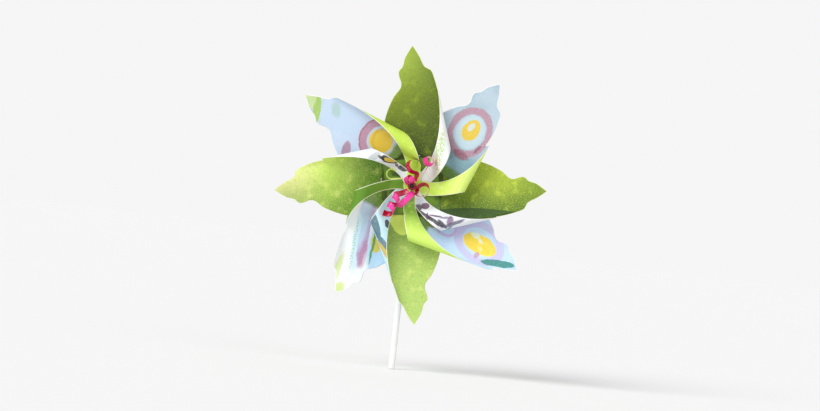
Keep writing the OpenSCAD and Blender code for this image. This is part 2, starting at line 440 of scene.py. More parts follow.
class Finishes:
    """Every material of the pinwheel, made once."""

    def __init__(self) -> None:
        """Makes the materials."""
        cream = (246, 244, 226)
        self.edge = self.plain("paper_edge", cream, 0.7)
        # Each vane's green by the hub and its shade green hold painted shade.
        self.green = [
            self.mottled(
                "green_top", ((66, 84, 18), (122, 140, 24), (170, 196, 70)), (70, 92, 12), (-22, 26), 0.7
            ),
            self.mottled(
                "green_right",
                ((130, 158, 34), (172, 192, 54), (120, 148, 30)),
                (74, 108, 16),
                (-12, 20),
                0.9,
                # painted shadow: a dark crescent along the right vane's lower side
                ShadeOrLightPatch((26, 60), (8, 44), (40, 74, 16), 0, 0.12, 0.85),
            ),
            self.mottled(
                "green_bottom",
                ((130, 166, 66), (182, 212, 108), (182, 214, 114)),
                (140, 176, 76),
                (-10, 30),
                0.3,
                # painted light: a bright lime pool on the bottom vane by the hub
                ShadeOrLightPatch((12, 28), (9.5, 17), (232, 252, 116), 14, 0.1, 0.95),
            ),
            self.mottled(
                "green_left",
                ((78, 130, 10), (206, 238, 104), (254, 252, 174)),
                (92, 138, 26),
                (22, -26),
                0.85,
            ),
        ]
        # The four backs are one lime paper: their limes differ by painted light and shade, the lower left
        # back deep green in painted shadow.
        self.limes = [
            self.lime_back("lime_upper_right", (222, 246, 122), (196, 230, 88), (238, 250, 180)),
            self.lime_back("lime_lower_right", (210, 244, 108), (112, 166, 48), (222, 248, 140)),
            self.lime_back("lime_lower_left", (92, 140, 24), (110, 154, 36), (112, 160, 40)),
            self.lime_back("lime_upper_left", (196, 226, 80), (208, 238, 84), (226, 248, 112)),
        ]
        self.prints = [self.print_rings(), self.print_tip_loops(), self.print_stripes(), self.print_yolk()]
        self.flaps = [self.flap_specks(), self.flap_strokes(), self.flap_slate(), self.flap_oval()]
        self.hub = self.hub_painted_shade()
        self.stick = self.rolled_paper()
        self.pin = self.plain("pin_steel", (196, 198, 202), 0.3, metallic=1.0)
        self.black = self.plain("black_plastic", (16, 14, 14), 0.18)
        self.white = self.plain("white_plastic", (232, 232, 226), 0.25)
        self.bead = self.plain("bead_plastic", (214, 40, 104), 0.2)
        self.crimson = self.foil("ribbon_crimson", (196, 12, 62), (150, 4, 40))
        self.pink = self.foil("ribbon_pink", (246, 60, 164), (214, 20, 96))
        self.ribbon_lime = self.foil("ribbon_lime", (214, 232, 122), (190, 212, 90))
        self.ribbon_cream = self.foil("ribbon_cream", (250, 244, 214), (236, 236, 160))

    def plain(self, name: str, colour: Rgb, rough: float, metallic: float = 0.0) -> bpy.types.Material:
        """A finish of one colour with a faint mottled wear in its colour.

        Args:
            name: The material's name.
            colour: Its colour, 0 to 255.
            rough: Its roughness.
            metallic: 1 for bare metal.

        Returns:
            The material.
        """
        paint = Painter(name, colour, Where.OBJECT, rough)
        paint.shader.inputs["Metallic"].default_value = metallic
        paint.wash(paint.noise(900, 3.0), tuple(max(c - 12, 0) for c in colour), 0.5)
        return paint.done()

    def foil(self, name: str, colour: Rgb, deep: Rgb) -> bpy.types.Material:
        """Glossy curling ribbon, its colour drifting to a deeper one.

        Args:
            name: The material's name.
            colour: Main colour, 0 to 255.
            deep: The deeper colour.

        Returns:
            The material.
        """
        paint = Painter(name, colour, Where.OBJECT, 0.26)
        paint.shader.inputs["Coat Weight"].default_value = 0.35
        paint.shader.inputs["Coat Roughness"].default_value = 0.12
        paint.wash(paint.ramp(paint.noise(130, 2.0), 0.4, 0.62), deep, 0.6)
        return paint.done()

    def mottled(
        self,
        name: str,
        greens: tuple[Rgb, Rgb, Rgb],
        shade: Rgb,
        across: tuple[float, float],
        depth: float,
        spot: ShadeOrLightPatch | None = None,
    ) -> bpy.types.Material:
        """Green watercolour that runs from the hub to the tip and deepens to one side in painted shade, under
        a fine grain; its darker green by the hub is partly painted shade.

        Args:
            name: The material's name.
            greens: Greens near the hub, in the middle and at the tip, 0 to 255; the one near the hub is
                partly painted shade.
            shade: Green of the side in painted shade.
            across: Places across the vane where the shade starts and is full.
            depth: How far the shade covers.
            spot: A patch of painted shadow or painted light, if the vane has one.

        Returns:
            The material.
        """
        low, middle, tip = greens
        paint = Painter(name, low, Where.FLAT_PATTERN, 0.66)
        paint.bleed(0.05, 7.0)
        place = paint.nodes.new("ShaderNodeSeparateXYZ")
        paint.links.new(paint.bled, place.inputs[0])
        # from the hub's darker green, partly painted shade, out to the tip
        paint.wash(paint.ramp(place.outputs["Y"], 28, 84), middle)
        paint.wash(paint.ramp(place.outputs["Y"], 70, 122), tip)
        # painted shade: one side of the vane deepens to the shade green
        paint.wash(paint.ramp(place.outputs["X"], *across), shade, depth)
        pale = tuple(min(int(c * 1.3) + 14, 255) for c in middle)
        dark = tuple(int(c * 0.62) for c in middle)
        paint.wash(paint.ramp(paint.noise(0.1, 3.0), 0.5, 0.72), pale, 0.3)
        paint.wash(paint.ramp(paint.noise(0.3, 3.0, 0.65), 0.5, 0.75), dark, 0.3)
        paint.speckle(0.9, 0.52, pale, 0.28)
        paint.speckle(1.3, 0.56, dark, 0.3)
        # painted shadow on the right vane, painted light on the bottom vane
        if spot is not None:
            paint.bleed(0.2, 0.6)
            paint.blob(spot.centre, spot.size, spot.colour, spot.turn, spot.soft, spot.strength)
        paint.cream_edge(0.45, (226, 232, 168))
        paint.grain(1.6, 0.00012)
        return paint.done()

    def lime_back(self, name: str, colour: Rgb, pinned: Rgb, pale: Rgb) -> bpy.types.Material:
        """A lime back of the print sheet, with painted light and shade, a mint pool by the tip and faint
        brush streaks.

        Args:
            name: The material's name.
            colour: Lime at the fold, 0 to 255, with that flap's painted light and shade.
            pinned: Lime of the pinned end, with the painted shade and light by the hub.
            pale: Lime of the thin places.

        Returns:
            The material.
        """
        paint = Painter(name, colour, Where.FLAT_PATTERN, 0.6)
        place = paint.nodes.new("ShaderNodeSeparateXYZ")
        paint.links.new(paint.coords, place.inputs[0])
        # painted shade and light: the lime turns to the pinned end's towards the hub
        paint.wash(paint.ramp(place.outputs["X"], 52, 88), pinned, 0.9)
        paint.wash(paint.ramp(place.outputs["X"], 40, 26), (206, 234, 84), 0.85)
        paint.wash(paint.ramp(paint.noise(0.22, 3.0), 0.5, 0.75), pale, 0.5)
        paint.bleed(0.12, 2.0)
        paint.blob((24, 66), (3.4, 9), (140, 216, 130), 12, 0.4, 0.7)
        paint.speckle(0.9, 0.6, tuple(int(c * 0.84) for c in colour), 0.3)
        paint.cream_edge(0.55, (248, 250, 208))
        paint.grain(1.6, 0.0001)
        return paint.done()

    def watercolour(self, name: str, ground: Rgb, pools: Rgb) -> Painter:
        """Starts a print with soft pools of a second colour on its ground.

        Args:
            name: The material's name.
            ground: Ground colour, 0 to 255.
            pools: Colour of the pools.

        Returns:
            The painter, ready for shapes.
        """
        paint = Painter(name, ground, Where.FLAT_PATTERN, 0.6)
        paint.wash(paint.ramp(paint.noise(0.04, 2.0), 0.4, 0.68), pools, 0.7)
        paint.bleed(0.11, 1.5)
        return paint

    def shaded_green_root(self, paint: Painter) -> None:
        """Paints the root of a print vane in the hub's green, up to the fold: painted shade by the hub.

        Args:
            paint: The vane's painter.
        """
        place = paint.nodes.new("ShaderNodeSeparateXYZ")
        paint.links.new(paint.bled, place.inputs[0])
        slanted = paint.math("SUBTRACT", place.outputs["Y"], paint.math("MULTIPLY", place.outputs["X"], 0.15))
        by_hub = paint.ramp(slanted, 35, 31)
        on_leaf = paint.ramp(place.outputs["X"], 40, 34)
        # painted shade: deep green over the vane's root by the hub
        paint.wash(paint.math("MULTIPLY", by_hub, on_leaf), (104, 140, 36), 0.95)

    def dry(self, paint: Painter, front: bool = True) -> bpy.types.Material:
        """Ends a print with the pigment's grain, the bare edge and the paper's tooth.

        Args:
            paint: The print's painter.
            front: Whether it is the front of a vane, whose root takes the hub's painted shade.

        Returns:
            The material.
        """
        if front:
            self.shaded_green_root(paint)
        paint.wash(paint.ramp(paint.noise(0.5, 3.0, 0.65), 0.48, 0.8), (244, 248, 250), 0.22)
        paint.cream_edge(0.5, (250, 250, 244))
        paint.grain(1.6, 0.0001)
        return paint.done()

    def print_rings(self) -> bpy.types.Material:
        """Grey-blue print with a rose ring round a yellow ring with a pale heart."""
        paint = self.watercolour("print_rings", (178, 198, 210), (158, 182, 194))
        # painted shade: darker teal low in the vane's curled pocket by the hub
        paint.blob((8, 40), (40, 16), (112, 160, 170), 0, 0.6, 0.75)
        paint.ring((8, 71), (17.5, 20.5), 0.17, (178, 128, 146), 12, 0.85)
        paint.blob((8, 71), (13, 16), (192, 214, 222), 12, 0.2, 0.8)
        paint.blob((15, 50), (8, 3.6), (140, 78, 96), 12, 0.5, 0.75)
        paint.blob((24, 64), (1.6, 4.5), (140, 78, 96), -8, 0.4, 0.7)
        paint.blob((7.5, 73), (7.6, 10.4), (226, 192, 14), 0, 0.16, 0.95)
        paint.blob((6, 75.5), (2.6, 4.2), (206, 216, 208), 0, 0.3, 0.95)
        return self.dry(paint)

    def print_tip_loops(self) -> bpy.types.Material:
        """Pale blue print with yellow loops near the tip, a lavender ring and a teal band."""
        paint = self.watercolour("print_loops", (198, 226, 246), (188, 212, 244))
        paint.ring((2, 80), (16, 21), 0.2, (202, 196, 232), 0, 0.85)
        paint.blob((3, 81), (8.6, 16.5), (246, 214, 16), 10, 0.15, 0.95)
        paint.blob((-1.5, 73), (2.6, 4.4), (226, 240, 214), 20, 0.4, 0.9)
        paint.blob((0.2, 80), (1.7, 3.2), (226, 240, 224), -20, 0.4, 0.9)
        paint.blob((6, 84), (1.5, 2.4), (240, 232, 150), -20, 0.4, 0.8)
        paint.ring((3.5, 87), (5, 7), 0.16, (248, 226, 90), 0, 0.6)
        paint.blob((12.5, 85), (3.2, 2.2), (206, 150, 176), 0, 0.4, 0.8)
        paint.blob((6.5, 104.5), (3.4, 15.5), (38, 138, 128), 31, 0.14, 0.92)
        paint.ring((9.5, 47), (7.6, 9.5), 0.14, (214, 172, 220), 0, 0.8)
        paint.blob((16, 34), (3.4, 6), (172, 138, 48), 0, 0.3, 0.9)
        paint.blob((19, 27), (4, 7), (168, 196, 228), 0, 0.4, 0.8)
        return self.dry(paint)

    def print_stripes(self) -> bpy.types.Material:
        """White print with long stripes: lime edge, green speckle, pale blue, mauve, green and yellow."""
        paint = self.watercolour("print_stripes", (248, 250, 250), (240, 248, 250))
        paint.blob((-16, 60), (19, 30), (176, 214, 242), 24, 0.3, 0.9)
        paint.blob((10, 66), (6, 30), (206, 234, 246), 22, 0.4, 0.85)
        paint.blob((8, 64), (4.6, 27), (182, 152, 194), 25, 0.22, 0.9)
        paint.blob((0, 76), (3.6, 13), (188, 110, 146), 25, 0.5, 0.5)
        paint.blob((21, 39), (7, 12), (216, 196, 242), 20, 0.3, 0.95)
        paint.blob((17, 54), (6, 24), (200, 234, 248), 22, 0.7, 0.7)
        paint.blob((-4, 60), (5.4, 10), (220, 202, 42), 28, 0.2, 0.92)
        paint.blob((-3.5, 66), (1.1, 16), (66, 140, 72), 24, 0.3, 0.85)
        paint.blob((15, 22), (5, 8), (150, 200, 60), 0, 0.3, 0.85)
        line = paint.ramp(paint.noise(0.9, 2.0), 0.5, 0.62)
        length = paint.nodes.new("ShaderNodeVectorMath")
        length.operation = "LENGTH"
        paint.links.new(paint.local((12, 74), 26, (1.6, 24)), length.inputs[0])
        trail = paint.math("MULTIPLY", paint.ramp(length.outputs["Value"], 1.1, 0.9), line)
        paint.wash(trail, (128, 186, 96), 0.8)
        paint.blob((11, 103), (3, 18), (222, 238, 160), 14, 0.5, 0.85)
        paint.blob((0, 117), (5, 9), (216, 236, 130), 0, 0.5, 0.85)
        return self.dry(paint)

    def print_yolk(self) -> bpy.types.Material:
        """Pale blue print with a yellow blob in a rose arc and a green speckled tip."""
        paint = self.watercolour("print_yolk", (196, 214, 232), (184, 204, 226))
        paint.blob((6, 92), (16, 26), (200, 220, 242), 0, 0.6, 0.7)
        paint.ring((14, 45), (19.5, 19.5), 0.2, (186, 130, 150), 0, 0.88)
        paint.ring((14, 45), (22.6, 22.6), 0.035, (160, 84, 110), 0, 0.6)
        paint.blob((14, 45), (14.5, 14.5), (202, 206, 212), 0, 0.12, 0.9)
        paint.blob((13, 48), (10.5, 10.8), (238, 200, 8), -8, 0.14, 0.95)
        paint.ring((16, 43), (13, 13), 0.1, (212, 180, 40), 0, 0.6)
        paint.blob((-15, 66), (4, 9), (168, 120, 144), -60, 0.3, 0.85)
        paint.blob((8, 97), (4, 7), (158, 198, 170), -40, 0.7, 0.55)
        paint.blob((-3, 111), (14, 3.4), (164, 200, 74), 32, 0.2, 0.9)
        paint.blob((0, 123), (12, 7.5), (206, 226, 154), 25, 0.2, 0.85)
        tip = paint.nodes.new("ShaderNodeVectorMath")
        tip.operation = "LENGTH"
        paint.links.new(paint.local((0, 118), 20, (12, 10)), tip.inputs[0])
        paint.speckle(1.0, 0.5, (150, 190, 60), 0.7, paint.ramp(tip.outputs["Value"], 1.1, 0.8))
        return self.dry(paint)

    def flap_specks(self) -> bpy.types.Material:
        """White back with a trail of light green specks."""
        paint = self.watercolour("flap_specks", (252, 252, 250), (240, 246, 244))
        trail = paint.nodes.new("ShaderNodeVectorMath")
        trail.operation = "LENGTH"
        paint.links.new(paint.local((57, 34), 38, (5, 26)), trail.inputs[0])
        paint.speckle(0.5, 0.42, (176, 210, 96), 0.75, paint.ramp(trail.outputs["Value"], 1.2, 0.6))
        return self.dry(paint, front=False)

    def flap_strokes(self) -> bpy.types.Material:
        """White and grey back with dark purple brush strokes."""
        paint = self.watercolour("flap_strokes", (240, 242, 246), (214, 222, 230))
        dark, plum = (44, 34, 52), (98, 62, 100)
        paint.blob((82, 23), (4, 6), dark, -20, 0.4, 0.85)
        paint.blob((81, 31), (3.6, 3.4), (104, 60, 92), 0, 0.3, 0.9)
        paint.blob((73, 25), (13, 1.7), dark, -18, 0.4, 0.92)
        paint.blob((59, 29), (11, 1.6), dark, -24, 0.4, 0.92)
        paint.blob((63, 33), (6.5, 1.2), plum, -40, 0.4, 0.9)
        paint.blob((52, 34), (6, 1.8), dark, -14, 0.4, 0.9)
        paint.blob((66, 25.5), (7, 1.1), plum, 30, 0.4, 0.85)
        paint.blob((48, 43), (1.9, 11), (92, 88, 112), 8, 0.5, 0.85)
        paint.blob((52, 42), (2.6, 4.2), (120, 78, 122), -30, 0.5, 0.8)
        paint.blob((56, 40), (1, 6), plum, 24, 0.5, 0.7)
        paint.blob((44, 36), (1.6, 6), (110, 104, 124), -30, 0.5, 0.7)
        return self.dry(paint, front=False)

    def flap_slate(self) -> bpy.types.Material:
        """Pale cyan back with a slate band, a dark square and a gold edge."""
        paint = self.watercolour("flap_slate", (190, 228, 238), (206, 238, 244))
        paint.blob((47, 37), (4.6, 15), (78, 116, 130), 18, 0.18, 0.92)
        paint.blob((42.5, 54), (2.6, 13), (78, 116, 130), 0, 0.25, 0.9)
        paint.blob((38.5, 63), (2.2, 12), (206, 178, 46), 0, 0.3, 0.9)
        paint.blob((57.5, 46), (3, 4), (42, 58, 72), 30, 0.16, 0.95)
        paint.blob((65, 20), (7, 8), (160, 208, 66), 0, 0.25, 0.9)
        return self.dry(paint, front=False)

    def flap_oval(self) -> bpy.types.Material:
        """White back with a yellow oval in a black outline, and black strokes."""
        paint = self.watercolour("flap_oval", (244, 246, 248), (222, 230, 236))
        black = (22, 20, 22)
        paint.blob((62, 26), (9.5, 3.9), black, -33, 0.12, 0.95)
        paint.blob((62, 26), (6.6, 2.3), (220, 186, 60), -33, 0.2, 0.95)
        paint.blob((55, 32), (4, 1.2), black, -33, 0.4, 0.9)
        paint.blob((69, 15), (5, 1.8), black, 60, 0.3, 0.9)
        paint.blob((79, 19), (5, 2.6), (30, 24, 34), -50, 0.3, 0.9)
        paint.blob((73, 23), (2.6, 1.4), (96, 44, 78), 0, 0.4, 0.85)
        paint.blob((52, 38), (3, 8), (150, 160, 150), -20, 0.7, 0.5)
        return self.dry(paint, front=False)

    def hub_painted_shade(self) -> bpy.types.Material:
        """The middle of the print sheet, painted as shade: deep green with darker patches and loose dark
        strokes.
        """
        paint = Painter("hub_painted_shade", (112, 150, 40), Where.OBJECT, 0.66)
        # painted shade: darker green patches and dark strokes between the flaps
        paint.wash(paint.ramp(paint.noise(60, 2.0), 0.42, 0.6), (62, 92, 18), 0.7)
        paint.wash(paint.ramp(paint.noise(110, 2.0), 0.6, 0.66), (34, 44, 28), 0.6)
        paint.grain(1600, 0.0001)
        return paint.done()

    def rolled_paper(self) -> bpy.types.Material:
        """Matt white rolled paper with a faint drift of shade."""
        paint = Painter("stick_paper", (240, 240, 238), Where.OBJECT, 0.7)
        paint.wash(paint.ramp(paint.noise(40, 2.0), 0.35, 0.75), (226, 226, 224), 0.6)
        paint.grain(1500, 0.0001)
        return paint.done()


# ---------------------------------------------------------------- curled paper


@dataclass(frozen=True)
class Curl:
    """How every vane lifts, folds over and lands, in millimetres and radians."""

    lift_at: float = 10.0
    lift_radius: float = 15.0
    lift: float = math.radians(14)
    land_len: float = 17.0
    land_radius: float = 6.0


@dataclass(frozen=True)
class Vane:
    """One vane of a sheet.

    axis and ruling are in degrees. reach and radius are the fold's, tip stretches the tip, place
    is its place in the pinned stack, free_from is where the free edge leaves the leaf, pinned_far
    the far side of the pinned end, bow how far the cut runs outwards at the fold, and rounding how
    softly the cut turns there.
    """

    axis: float
    ruling: float
    reach: float
    radius: float
    tip: float
    place: int
    free_from: float
    pinned_far: float
    bow: float
    rounding: float = 0.0


@dataclass
class Fold:
    """The section of a vane across its ruling: flat, lift bend, rise, fold, return, landing bend, flat."""

    reach: float
    radius: float
    land_z: float
    curl: Curl

    def __post_init__(self) -> None:
        """Works out the joints between the section's arcs and lines."""
        c, r = self.curl, self.radius
        self.lift_end = (
            c.lift_at + c.lift_radius * math.sin(c.lift),
            c.lift_radius * (1 - math.cos(c.lift)),
        )
        centre_x = self.reach - r
        rise = (centre_x + r * math.sin(c.lift) - self.lift_end[0]) / math.cos(c.lift)
        centre_z = self.lift_end[1] + rise * math.sin(c.lift) + r * math.cos(c.lift)
        self.centre = (centre_x, centre_z)
        dx, dz = c.land_len - centre_x, self.land_z + c.land_radius - centre_z
        apart = math.hypot(dx, dz)
        towards = math.atan2(dz, dx)
        self.turn = towards + math.asin((r + c.land_radius) / apart) + (2 * math.pi if towards < 0 else 0)
        p1 = c.lift_at + c.lift_radius * c.lift
        p2 = p1 + rise
        p3 = p2 + r * (self.turn - c.lift)
        p4 = p3 + math.sqrt(apart**2 - (r + c.land_radius) ** 2)
        p5 = p4 + c.land_radius * (self.turn - math.pi)
        self.joints = (p1, p2, p3, p4, p5, p5 + c.land_len)
        self.brow = p2 + r * (math.pi / 2 - c.lift)

    def section(self, p: np.ndarray) -> tuple[np.ndarray, np.ndarray, np.ndarray]:
        """Place and direction of the section at lengths along the paper.

        Each stretch is a straight line or an arc that starts where the last one ends, in its
        direction.

        Args:
            p: Lengths along the paper.

        Returns:
            Distance from the pin, height over the flat, and direction in radians.
        """
        c, r, turn = self.curl, self.radius, self.turn
        p1, p2, p3, p4, p5, _ = self.joints
        (x1, z1), (cx, cz) = self.lift_end, self.centre
        lifting = (p - c.lift_at) / c.lift_radius
        folding = c.lift + (p - p2) / r
        landing = turn - (p - p4) / c.land_radius
        where = [p < c.lift_at, p < p1, p < p2, p < p3, p < p4, p < p5]
        x = np.select(
            where,
            [
                p,
                c.lift_at + c.lift_radius * np.sin(lifting),
                x1 + (p - p1) * math.cos(c.lift),
                cx + r * np.sin(folding),
                cx + r * math.sin(turn) + (p - p3) * math.cos(turn),
                c.land_len - c.land_radius * np.sin(landing),
            ],
            c.land_len - (p - p5),
        )
        z = np.select(
            where,
            [
                0 * p,
                c.lift_radius * (1 - np.cos(lifting)),
                z1 + (p - p1) * math.sin(c.lift),
                cz - r * np.cos(folding),
                cz - r * math.cos(turn) + (p - p3) * math.sin(turn),
                self.land_z + c.land_radius * (1 + np.cos(landing)),
            ],
            self.land_z + 0 * p,
        )
        angle = np.select(
            where, [0 * p, lifting, c.lift + 0 * p, folding, turn + 0 * p, landing], math.pi + 0 * p
        )
        return x, z, angle


HUB_SLOT = 4
FIRST_BACK_SLOT = 5
EDGE_SLOT = 10


@dataclass
class PaperSheet:
    """A paper sheet of four vanes, each curled over and pinned at the hub, as one closed thin shell.

    Its material slots are the four vanes' fronts, the hub, the four backs, the hub's back and the
    cut edge. The tuck fields say how far the cut by the hub reaches inwards under a lifted leaf.
    Wall faces by the hub, within painted_s along and painted_r across, take the hub's finish and its painted
    shade in place of the bare edge.
    """

    name: str
    vanes: tuple[Vane, ...]
    left: np.ndarray
    right: np.ndarray
    base: float
    fronts: list[bpy.types.Material]
    backs: list[bpy.types.Material]
    hub: bpy.types.Material
    edge: bpy.types.Material
    curl: Curl = Curl()
    thick: float = 0.3
    cut_s: float = 28.0
    vane_len: float = 125.0
    pinned_half: float = 6.0
    pinned_over: float = 6.5
    hole_r: float = 1.4
    rear_z: float = 9.8
    hub_gap: float = 0.6
    land_rise: float = 1.1
    stack_step: float = 0.45
    body_rows: int = 26
    tip_rows: int = 64
    leaf_cols: int = 30
    neck_cols: int = 12
    side_cols: int = 12
    hub_rows: int = 8
    tuck_depth: float = 1.8
    tuck_from: float = 12.0
    tuck_over: float = 5.0
    painted_s: float = 37.0
    painted_r: float = 40.0
    far_from_edge: float = 9.0

    def to_fold(self, vane: Vane, s: np.ndarray, r: np.ndarray) -> np.ndarray:
        """Turns places along and clockwise of a vane's axis into lengths across and along its fold."""
        a = math.radians(vane.ruling)
        return np.stack([s * math.sin(a) + r * math.cos(a), s * math.cos(a) - r * math.sin(a)], -1)

    def from_fold(self, vane: Vane, pq: np.ndarray) -> np.ndarray:
        """The flat pattern's [clockwise, along, 0] of lengths across and along the fold."""
        a = math.radians(vane.ruling)
        p, q = pq[..., 0], pq[..., 1]
        return np.stack([p * math.cos(a) - q * math.sin(a), p * math.sin(a) + q * math.cos(a), 0 * p], -1)

    def fold(self, vane: Vane) -> Fold:
        """The fold of a vane that lands at its place in the stack."""
        height = self.hub_gap + self.land_rise - self.base + self.rear_z + self.stack_step * vane.place
        return Fold(vane.reach, vane.radius, height, self.curl)

    def bent(self, vane: Vane, fold: Fold, pq: np.ndarray, h: float) -> np.ndarray:
        """Bends points of the flat pattern into the row frame.

        The section gives distance from the pin and height; the height h over mid paper is added
        along the section's normal; the ruling then runs straight across it.

        Args:
            vane: The vane.
            fold: Its fold.
            pq: Lengths across and along the fold.
            h: Height over mid paper, towards the front.

        Returns:
            Places in millimetres.
        """
        e = math.radians(vane.axis + vane.ruling)
        x, z, angle = fold.section(pq[..., 0])
        q = pq[..., 1]
        x, z = x - h * np.sin(angle), z + h * np.cos(angle)
        return np.stack(
            [
                q * math.cos(e) + x * math.sin(e),
                -(self.base + z),
                HUB_HEIGHT + q * math.sin(e) - x * math.cos(e),
            ],
            -1,
        )

    def tongue(self, vane: Vane, fold: Fold, p: np.ndarray) -> np.ndarray:
        """Columns of the tongue: its cut side rises as a power of the section's reach, its free side
        as a quarter oval, and its pinned end closes in a rounded point.

        Args:
            vane: The vane.
            fold: Its fold.
            p: Lengths across the fold, one for each column.

        Returns:
            Places [row, column, (across, along)].
        """
        x = fold.section(p)[0]
        share = np.maximum(x, 0) / vane.reach
        a = math.radians(vane.ruling)
        top = vane.bow + (self.cut_s - fold.brow * math.sin(a)) / math.cos(a)
        oval = 1 - np.sqrt(1 - np.minimum(share, 1) ** 2)
        rise = share**1.6 * (1 - vane.rounding) + oval * vane.rounding
        near = -self.pinned_half + (top + self.pinned_half + 7 * vane.rounding) * rise
        start = self.to_fold(vane, vane.free_from, smooth(self.right, np.array([vane.free_from])))[0, 1] + 1
        far = vane.pinned_far + (start - vane.pinned_far) / 0.9 * (1 - np.sqrt(1 - (0.995 * share) ** 2))
        over = np.clip(x / (self.pinned_over + 0.3), -1, 0)
        close = np.where(x < 0, np.sqrt(1 - over**2), 1.0)
        rows = np.linspace(-0.5, 0.5, self.body_rows + 1)[:, None]
        q = (near + far) / 2 + (far - near) * close * rows
        return np.stack([np.broadcast_to(p, q.shape), q], -1)

    def open_cells(self, grid: np.ndarray, pin: float) -> np.ndarray:
        """Which cells of a grid lie in the pin's hole: those whose middle is nearer than its radius."""
        middle = (grid[:-1, :-1] + grid[1:, :-1] + grid[:-1, 1:] + grid[1:, 1:]) / 4
        return np.linalg.norm(middle - [pin, 0], axis=-1) < self.hole_r

    def pierced(self, tongue: np.ndarray, pin: float) -> np.ndarray:
        """Moves the points round the pin's hole straight out or in to its circle.

        Args:
            tongue: The tongue's grid of lengths across and along the fold.
            pin: Length across the fold at which the pin stands.

        Returns:
            The grid with a round rim.
        """
        cells = np.pad(self.open_cells(tongue, pin), 1)
        near = cells[1:, 1:].astype(int) + cells[:-1, 1:] + cells[1:, :-1] + cells[:-1, :-1]
        off = tongue - [pin, 0]
        far = np.maximum(np.linalg.norm(off, axis=-1, keepdims=True), 1e-6)
        rim = ((near > 0) & (near < 4))[..., None]
        return np.where(rim, [pin, 0] + off / far * self.hole_r, tongue)

    def pattern(self, vane: Vane, fold: Fold) -> tuple[np.ndarray, np.ndarray]:
        """The flat pattern of one vane as two grids that share the row where the free edge starts.

        Where the leaf is lifted, its cut edge by the hub reaches a little inwards, so the slit
        doesn't gape.

        Args:
            vane: The vane.
            fold: Its fold.

        Returns:
            The body grid with leaf, side and tongue columns, and the tip grid with leaf columns.
        """
        across = np.linspace(0, 1, self.leaf_cols + 1)
        s_body = np.linspace(self.cut_s, vane.free_from, self.body_rows + 1)
        left, right = smooth(self.left, s_body), smooth(self.right, s_body)
        r = -left[:, None] + (left + right)[:, None] * across
        a = math.radians(vane.ruling)
        from_pin = self.cut_s * math.sin(a) + r * math.cos(a)
        lifted = np.clip((from_pin - self.tuck_from) / self.tuck_over, 0, 1)
        fading = np.linspace(1, 0, self.body_rows + 1)[:, None] ** 3
        tuck = self.tuck_depth * lifted**2 * (3 - 2 * lifted) * fading
        leaf = self.to_fold(vane, s_body[:, None] - tuck, r)
        p1, p2, p3, p4, p5, p6 = fold.joints
        p = np.concatenate(
            [
                np.linspace(fold.brow, p3, 26),
                np.linspace(p3, p4, 9)[1:],
                np.linspace(p4, p5, 9)[1:],
                np.linspace(p5, p6 - 3, 7)[1:],
                np.linspace(p6 - 3, p6 + 3, 15)[1:],
                p6 + 3 + (self.pinned_over - 3) * np.sin(np.linspace(0, math.pi / 2, 8)[1:]),
            ]
        )
        tongue = self.tongue(vane, fold, p)
        side = np.linspace(0, 1, self.side_cols + 1)[1:-1, None]
        between = leaf[:, -1:, :] * (1 - side) + tongue[:, :1, :] * side
        body = np.concatenate([leaf, between, self.pierced(tongue, p6)], 1)
        s_tip = np.linspace(vane.free_from, self.vane_len - 0.15, self.tip_rows + 1)[1:]
        left, right = smooth(self.left, s_tip), smooth(self.right, s_tip)
        stretch = (self.vane_len * vane.tip - vane.free_from) / (self.vane_len - vane.free_from)
        s_out = vane.free_from + (s_tip - vane.free_from) * stretch
        r = -left[:, None] + (left + right)[:, None] * across
        return body, self.to_fold(vane, np.broadcast_to(s_out[:, None], r.shape), r)

    def build(self) -> bpy.types.Object:
        """Builds the sheet: both faces of every vane, the hub, and the cut edge all round.

        The hub's rings run in straight lines from the vanes' necks to the pin's hole. The distance
        to the cut edge is stored for each vertex.

        Returns:
            The sheet.
        """
        flat, upper, lower, quads, slots, edges, rims, to_edge, wall_slots, holes = ([] for _ in range(10))
        start = 0
        for k, vane in enumerate(self.vanes):
            fold = self.fold(vane)
            body, tip = self.pattern(vane, fold)
            pq = np.concatenate([body.reshape(-1, 2), tip.reshape(-1, 2)])
            grid = start + np.arange(body.shape[0] * body.shape[1]).reshape(body.shape[:2])
            above = start + grid.size + np.arange(tip.shape[0] * tip.shape[1]).reshape(tip.shape[:2])
            above = np.concatenate([grid[-1:, : self.leaf_cols + 1], above])
            inner_cols = self.leaf_cols + self.side_cols - 1
            cut = np.concatenate(
                [
                    grid[:-1, 0],
                    above[:, 0],
                    above[-1, 1:],
                    above[-2:0:-1, -1],
                    grid[-1, self.leaf_cols :],
                    grid[-2::-1, -1],
                    grid[0, -2:inner_cols:-1],
                ]
            )
            neck = grid[0, inner_cols : self.neck_cols - 1 : -1]
            to_edge.append(self.edge_distance(pq, cut - start))
            flat.append(self.from_fold(vane, pq))
            upper.append(self.bent(vane, fold, pq, self.thick / 2))
            lower.append(self.bent(vane, fold, pq, -self.thick / 2))
            kept, rim = self.cut_hole(grid, body, fold.joints[5])
            holes.append(rim)
            quads += [kept, grid_quads(above)]
            slots += [k, k]
            edges += [cut, neck]
            place = self.from_fold(vane, pq)[cut - start]
